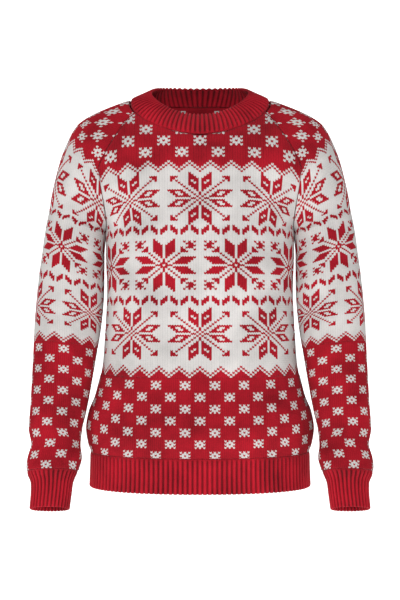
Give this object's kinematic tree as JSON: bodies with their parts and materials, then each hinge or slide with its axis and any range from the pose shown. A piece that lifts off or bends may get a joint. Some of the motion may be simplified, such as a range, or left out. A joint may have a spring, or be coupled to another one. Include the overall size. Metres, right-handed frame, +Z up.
{
  "type": "christmas sweater",
  "caption": "Raglan crew-neck pullover in red and white star and snowflake knit, filled out as worn, with ribbed neckband, cuffs and hem.",
  "frame": {"origin": "middle of the neck opening, level with the highest point of the shoulders, where the wearer holds the garment up", "axes": "+Z up, the front faces -Y, +X to the left hand of the wearer; the garment is mirror symmetric across X"},
  "size_m": [0.542, 0.238, 0.6725],
  "materials": {
    "patterned_knit": "two-colour jacquard knit, red and off-white, soft and matt",
    "red_rib": "red rib knit, soft and matt"
  },
  "bodies": {
    "root": {"front": "patterned_knit", "back": "patterned_knit", "sleeve_left": "patterned_knit", "sleeve_right": "patterned_knit", "neckband": "red_rib", "hem_rib_front": "red_rib", "hem_rib_back": "red_rib", "cuff_left": "red_rib", "cuff_right": "red_rib"}
  },
  "joints": []
}
